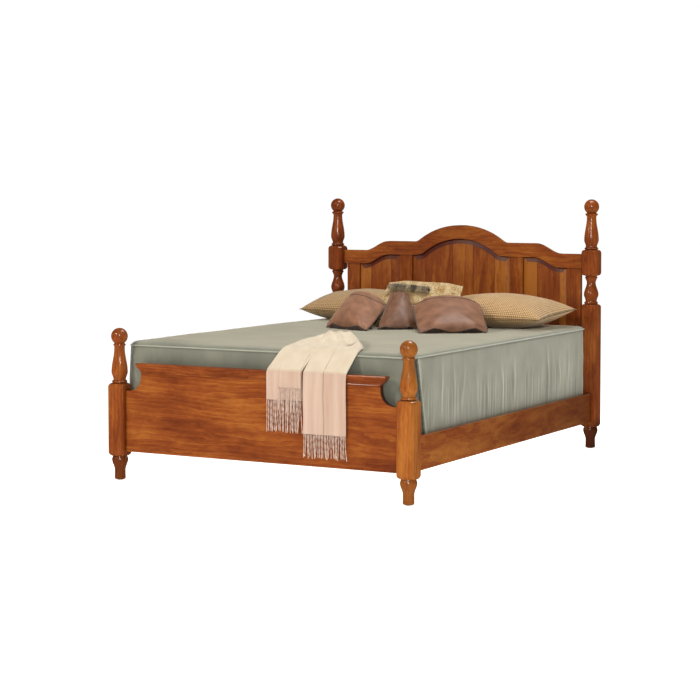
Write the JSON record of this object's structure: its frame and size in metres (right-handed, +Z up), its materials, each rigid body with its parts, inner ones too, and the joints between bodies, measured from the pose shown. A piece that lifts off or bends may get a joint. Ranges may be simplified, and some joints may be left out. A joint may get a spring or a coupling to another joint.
{
  "type": "bed",
  "caption": "Queen-size cherry bed with turned ball-top posts, arched panel headboard and scooped footboard, dressed with coverlet, pillows and throw.",
  "frame": {"origin": "on the floor under the middle of the bed, at the bottom centre of the bounding box", "axes": "+Y from the footboard to the headboard, +Z up, +X to the right of a person who stands at the footboard and faces the headboard"},
  "size_m": [1.642, 2.2204, 1.336],
  "materials": {
    "cherry_wood": "satin varnish",
    "hidden_wood": "planed, unfinished",
    "zinc_plated_steel": "zinc plated",
    "glide_plastic": "moulded",
    "ticking": "woven",
    "sage_cloth": "washed cotton",
    "gold_check_cloth": "woven small check",
    "printed_cloth": "printed cotton",
    "grey_fur": "long pile",
    "brown_satin": "satin sheen",
    "cream_throw": "soft woven wool"
  },
  "bodies": {
    "frame": {"head_post_left": "cherry_wood", "head_post_right": "cherry_wood", "foot_post_left": "cherry_wood", "foot_post_right": "cherry_wood", "headboard_crest_rail": "cherry_wood", "headboard_stile_left": "cherry_wood", "headboard_stile_right": "cherry_wood", "headboard_mullion_left": "cherry_wood", "headboard_mullion_right": "cherry_wood", "headboard_panel_left": "cherry_wood", "headboard_panel_centre": "cherry_wood", "headboard_panel_right": "cherry_wood", "headboard_bottom_rail": "cherry_wood", "footboard_panel": "cherry_wood", "footboard_cap": "cherry_wood", "side_rail_left": "cherry_wood", "side_rail_right": "cherry_wood", "ledger_left": "hidden_wood", "ledger_right": "hidden_wood", "slat_1": "hidden_wood", "slat_2": "hidden_wood", "slat_3": "hidden_wood", "slat_4": "hidden_wood", "slat_5": "hidden_wood", "centre_leg_1": "hidden_wood", "centre_leg_2": "hidden_wood", "centre_leg_3": "hidden_wood", "leveler_1": "zinc_plated_steel", "leveler_2": "zinc_plated_steel", "leveler_3": "zinc_plated_steel", "hook_plate_head_left": "zinc_plated_steel", "hook_plate_head_right": "zinc_plated_steel", "hook_plate_foot_left": "zinc_plated_steel", "hook_plate_foot_right": "zinc_plated_steel", "slot_plate_head_left": "zinc_plated_steel", "slot_plate_head_right": "zinc_plated_steel", "slot_plate_foot_left": "zinc_plated_steel", "slot_plate_foot_right": "zinc_plated_steel", "hook_plate_screws": "zinc_plated_steel", "slot_plate_screws": "zinc_plated_steel", "ledger_screws": "zinc_plated_steel", "slat_screws": "zinc_plated_steel", "foot_glides": "glide_plastic"},
    "foundation": {"box_spring": "ticking"},
    "bedding": {"mattress": "ticking", "coverlet": "sage_cloth", "coverlet_welt": "sage_cloth"},
    "sham_left_body": {"sham_left": "gold_check_cloth"},
    "sham_right_body": {"sham_right": "gold_check_cloth"},
    "print_pillow_body": {"print_pillow": "printed_cloth", "pillow_tie": "grey_fur"},
    "satin_left_body": {"satin_left": "brown_satin"},
    "satin_middle_body": {"satin_middle": "brown_satin"},
    "satin_right_body": {"satin_right": "brown_satin"},
    "throw_body": {"throw": "cream_throw", "throw_fringe": "cream_throw"}
  },
  "joints": [
    {"name": "lift_box_spring", "type": "slide", "parent": "frame", "child": "foundation", "axis": [0, 0, 1], "range_m": [0, 0.6]},
    {"name": "lift_mattress", "type": "slide", "parent": "foundation", "child": "bedding", "axis": [0, 0, 1], "range_m": [0, 0.3]},
    {"name": "lift_sham_left", "type": "slide", "parent": "bedding", "child": "sham_left_body", "axis": [0, 0, 1], "range_m": [0, 0.3]},
    {"name": "lift_sham_right", "type": "slide", "parent": "sham_left_body", "child": "sham_right_body", "axis": [0, 0, 1], "range_m": [0, 0.3]},
    {"name": "lift_print_pillow", "type": "slide", "parent": "sham_right_body", "child": "print_pillow_body", "axis": [0, 0, 1], "range_m": [0, 0.3]},
    {"name": "lift_satin_middle", "type": "slide", "parent": "print_pillow_body", "child": "satin_middle_body", "axis": [0, 0, 1], "range_m": [0, 0.3]},
    {"name": "lift_satin_left", "type": "slide", "parent": "satin_middle_body", "child": "satin_left_body", "axis": [0, 0, 1], "range_m": [0, 0.3]},
    {"name": "lift_satin_right", "type": "slide", "parent": "satin_middle_body", "child": "satin_right_body", "axis": [0, 0, 1], "range_m": [0, 0.3]},
    {"name": "lift_throw", "type": "slide", "parent": "bedding", "child": "throw_body", "axis": [0, 0, 1], "range_m": [0, 0.3]}
  ]
}
